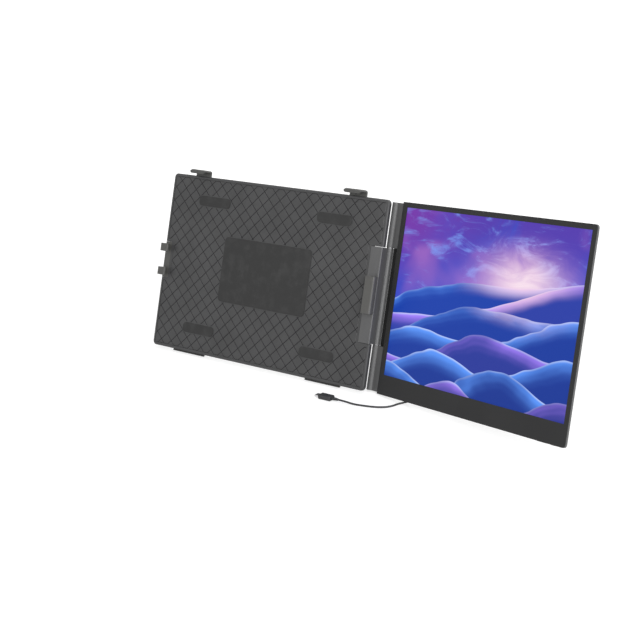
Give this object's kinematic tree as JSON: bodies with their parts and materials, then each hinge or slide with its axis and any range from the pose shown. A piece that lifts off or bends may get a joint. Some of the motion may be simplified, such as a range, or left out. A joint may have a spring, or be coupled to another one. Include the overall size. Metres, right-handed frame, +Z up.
{
  "type": "laptop screen extender",
  "caption": "Second display on a friction hinge, carried by a slim clip-on back plate with sliding hooks that grip a laptop's lid.",
  "frame": {"origin": "centre of the rubber pad in the middle of the plate's front, which bears on the laptop's lid", "axes": "+X to the viewer's right, where the display is; -Y towards the user; +Z up. The plate leans back by 20 degrees as an opened lid does"},
  "size_m": [0.7556, 0.191, 0.27],
  "materials": {
    "textured_shell": "moulded with crossing grooves, satin",
    "housing_plastic": "satin moulded plastic",
    "bezel_plastic": "fine matt",
    "rear_plastic": "fine matt",
    "rubber": "matt",
    "steel": "brushed",
    "dark_steel": "blackened",
    "screen_glass": "matt anti-glare film, lit by a soft blue, violet and pink pattern",
    "clear_acrylic": "clear",
    "tray_metal": "stamped",
    "circuit_board": "solder mask with parts",
    "button_plastic": "semi-gloss",
    "cable_jacket": "smooth jacket",
    "plug_moulding": "satin overmould",
    "connector_metal": "nickel plated",
    "speaker_cone": "matt"
  },
  "bodies": {
    "plate": {"front_cover": "textured_shell", "rear_shell": "rear_plastic", "cover_screws": "dark_steel", "lid_pad": "rubber", "corner_pads": "rubber", "bottom_feet": "rubber", "slide_sleeves": "steel", "stop_pins": "steel", "drag_springs": "steel", "kickstand_pins": "steel"},
    "kickstand": {"kickstand_leg": "rear_plastic", "kickstand_foot": "rubber"},
    "left_clip": {"left_hook": "housing_plastic", "left_liner": "rubber", "left_rail": "steel", "left_rail_screw": "dark_steel"},
    "top_clip_left": {"top_hook_left": "housing_plastic", "top_liner_left": "rubber", "top_rail_left": "steel", "top_rivet_left": "steel"},
    "top_clip_right": {"top_hook_right": "housing_plastic", "top_liner_right": "rubber", "top_rail_right": "steel", "top_rivet_right": "steel"},
    "carrier": {"hinge_housing": "housing_plastic", "housing_plate": "housing_plastic", "right_rails": "steel", "right_rail_screws": "dark_steel", "right_hook": "housing_plastic", "right_liner": "rubber", "hinge_shafts": "steel", "thrust_washers": "steel", "spring_washers": "steel", "shaft_nuts": "steel"},
    "display": {"hinge_leaves": "steel", "leaf_screws": "dark_steel", "display_rear_cover": "rear_plastic", "display_bezel": "bezel_plastic", "lcd_panel": "screen_glass", "light_guide": "clear_acrylic", "panel_tray": "tray_metal", "barrel_caps": "housing_plastic", "display_screws": "dark_steel", "display_bumpers": "rubber", "driver_board": "circuit_board", "usb_c_socket": "connector_metal", "speakers": "speaker_cone", "button_board": "circuit_board", "laptop_plug": "plug_moulding", "laptop_plug_shell": "connector_metal", "display_plug": "plug_moulding", "display_plug_shell": "connector_metal", "usb_cable": "cable_jacket"},
    "power_button": {"power_button": "button_plastic"},
    "menu_rocker": {"menu_rocker": "button_plastic"}
  },
  "joints": [
    {"name": "carrier_slide", "type": "slide", "parent": "plate", "child": "carrier", "axis": [1, 0, 0], "range_m": [0, 0.025]},
    {"name": "left_clip_slide", "type": "slide", "parent": "plate", "child": "left_clip", "axis": [-1, 0, 0], "range_m": [0, 0.025]},
    {"name": "top_clip_left_slide", "type": "slide", "parent": "plate", "child": "top_clip_left", "axis": [0, 0.342, 0.9397], "range_m": [-0.0054, 0.025]},
    {"name": "top_clip_right_slide", "type": "slide", "parent": "plate", "child": "top_clip_right", "axis": [0, 0.342, 0.9397], "range_m": [-0.0054, 0.025]},
    {"name": "kickstand_hinge", "type": "hinge", "parent": "plate", "child": "kickstand", "pos_m": [0, 0.0205, 0.03936], "axis": [1, 0, 0], "range_deg": [0, 55]},
    {"name": "display_swing", "type": "hinge", "parent": "carrier", "child": "display", "pos_m": [0.1955, 0.01597, -0.00581], "axis": [0, -0.342, -0.9397], "range_deg": [-196.5, 38.5]},
    {"name": "power_button_press", "type": "slide", "parent": "display", "child": "power_button", "axis": [0, 0.342, 0.9397], "range_m": [0, 0.0004], "stiffness_N_per_m": 1500, "springref_m": -0.0006},
    {"name": "menu_rocker_tilt", "type": "hinge", "parent": "display", "child": "menu_rocker", "pos_m": [0.52055, -0.11598, -0.08698], "axis": [-0.284, -0.901, 0.3279], "range_deg": [-2.5, 2.5], "stiffness_Nm_per_rad": 0.5}
  ]
}
